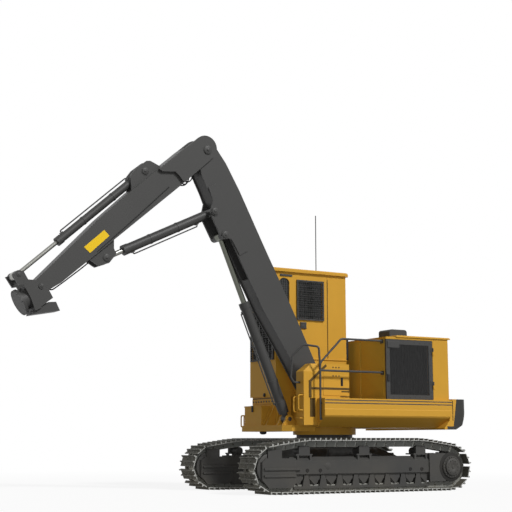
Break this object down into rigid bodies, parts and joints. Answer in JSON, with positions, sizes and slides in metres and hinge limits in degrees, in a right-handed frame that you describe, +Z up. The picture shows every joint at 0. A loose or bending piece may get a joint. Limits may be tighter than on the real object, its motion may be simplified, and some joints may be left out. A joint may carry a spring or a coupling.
{
  "type": "tracked knuckleboom log loader",
  "caption": "Tracked log loader: slewing deck with cab, engine hood and a hinged boom and stick worked by cylinders, ending in a tilting tool head.",
  "frame": {"origin": "middle of the whole machine's box, on the ground", "axes": "+X forward, +Y to the machine's left, +Z up"},
  "size_m": [8.912, 2.87, 6.3474],
  "materials": {
    "yellow_paint": "satin sprayed paint",
    "charcoal_paint": "satin sprayed paint",
    "track_steel": "worn steel",
    "undercarriage_paint": "satin paint with dust",
    "chrome_rod": "polished hard chrome",
    "window_glass": "tinted safety glass",
    "grille_mesh": "matt black paint",
    "upholstery": "woven cloth",
    "black_plastic": "moulded grain",
    "engine_iron": "painted casting"
  },
  "bodies": {
    "undercarriage": {"carbody": "undercarriage_paint", "slew_ring": "undercarriage_paint", "idlers": "track_steel", "final_drives": "undercarriage_paint", "bottom_rollers": "track_steel", "carrier_rollers": "track_steel", "track_left": "track_steel", "track_right": "track_steel", "track_frame_left": "undercarriage_paint", "track_frame_right": "undercarriage_paint"},
    "upper": {"main_frame": "yellow_paint", "side_tank_left": "yellow_paint", "side_tank_right": "yellow_paint", "rear_bumper": "charcoal_paint", "front_platform": "yellow_paint", "tool_box": "yellow_paint", "boom_tower_left": "yellow_paint", "hood_front_panel": "yellow_paint", "hood_rear_panel": "yellow_paint", "hood_right_panel": "yellow_paint", "hood_left_panel": "yellow_paint", "hood_roof": "yellow_paint", "radiator_core": "grille_mesh", "engine_block": "engine_iron", "air_cleaner": "charcoal_paint", "cab_floor": "yellow_paint", "cab_left_wall": "yellow_paint", "cab_rear_wall": "yellow_paint", "cab_front_wall": "yellow_paint", "cab_right_wall": "yellow_paint", "cab_roof": "yellow_paint", "cab_glass": "window_glass", "window_guards": "grille_mesh", "operator_chair": "upholstery", "control_pods": "black_plastic", "hand_rails": "charcoal_paint", "grab_handles": "yellow_paint", "antenna": "black_plastic"},
    "grille_door": {"grille_door": "charcoal_paint"},
    "cab_door": {"cab_door": "yellow_paint", "cab_door_glass": "window_glass"},
    "boom": {"main_boom": "charcoal_paint"},
    "stick": {"stick": "charcoal_paint"},
    "tool_head": {"tool_head": "charcoal_paint"},
    "lift_barrel": {"lift_barrel": "charcoal_paint"},
    "lift_rod": {"lift_rod": "chrome_rod"},
    "stick_barrel": {"stick_barrel": "charcoal_paint"},
    "stick_rod": {"stick_rod": "chrome_rod"},
    "tip_barrel": {"tip_barrel": "charcoal_paint"},
    "tip_rod": {"tip_rod": "chrome_rod"}
  },
  "joints": [
    {"name": "slew", "type": "hinge", "parent": "undercarriage", "child": "upper", "pos_m": [-2.028, 0, 1.03], "axis": [0, 0, 1], "continuous": true},
    {"name": "boom_lift", "type": "hinge", "parent": "upper", "child": "boom", "pos_m": [-1.308, 0.55, 2], "axis": [0, -1, 0], "range_deg": [-58, 18]},
    {"name": "stick_fold", "type": "hinge", "parent": "boom", "child": "stick", "pos_m": [0.932, 0.55, 6.086], "axis": [0, 1, 0], "range_deg": [-80, 8]},
    {"name": "head_tilt", "type": "hinge", "parent": "stick", "child": "tool_head", "pos_m": [3.937, 0.55, 3.42], "axis": [0, 1, 0], "range_deg": [-60, 25]},
    {"name": "lift_barrel_swing", "type": "hinge", "parent": "upper", "child": "lift_barrel", "pos_m": [-0.844, 0.55, 1.31], "axis": [0, -1, 0], "range_deg": [-54.64, 17.09]},
    {"name": "lift_rod_slide", "type": "slide", "parent": "lift_barrel", "child": "lift_rod", "axis": [0.3925, 0, 0.9198], "range_m": [-0.8489, 0.2648]},
    {"name": "stick_barrel_swing", "type": "hinge", "parent": "boom", "child": "stick_barrel", "pos_m": [0.762, 0.55, 4.98], "axis": [0, 1, 0], "range_deg": [-72.35, 7.42]},
    {"name": "stick_rod_slide", "type": "slide", "parent": "stick_barrel", "child": "stick_rod", "axis": [0.8976, 0, -0.4408], "range_m": [-0.1554, 1.5357]},
    {"name": "tip_barrel_swing", "type": "hinge", "parent": "stick", "child": "tip_barrel", "pos_m": [2.092, 0.55, 5.583], "axis": [0, 1, 0], "range_deg": [-1.37, 0.69]},
    {"name": "tip_rod_slide", "type": "slide", "parent": "tip_barrel", "child": "tip_rod", "axis": [0.744, 0, -0.6682], "range_m": [-0.3999, 0.1678]},
    {"name": "cab_door_swing", "type": "hinge", "parent": "upper", "child": "cab_door", "pos_m": [-1.781, -0.845, 2.9], "axis": [0, 0, -1], "range_deg": [0, 100]},
    {"name": "grille_swing", "type": "hinge", "parent": "upper", "child": "grille_door", "pos_m": [-3.721, 1.235, 2.26], "axis": [0, 0, 1], "range_deg": [0, 110]}
  ],
  "couplings": [
    {"joint": "lift_barrel_swing", "follows": "boom_lift", "ratio": 0.93857},
    {"joint": "lift_rod_slide", "follows": "boom_lift", "m_per_rad": 0.8366},
    {"joint": "stick_barrel_swing", "follows": "stick_fold", "ratio": 0.90192},
    {"joint": "stick_rod_slide", "follows": "stick_fold", "m_per_rad": -1.0984},
    {"joint": "tip_barrel_swing", "follows": "head_tilt", "ratio": 0.01949},
    {"joint": "tip_rod_slide", "follows": "head_tilt", "m_per_rad": 0.38}
  ]
}
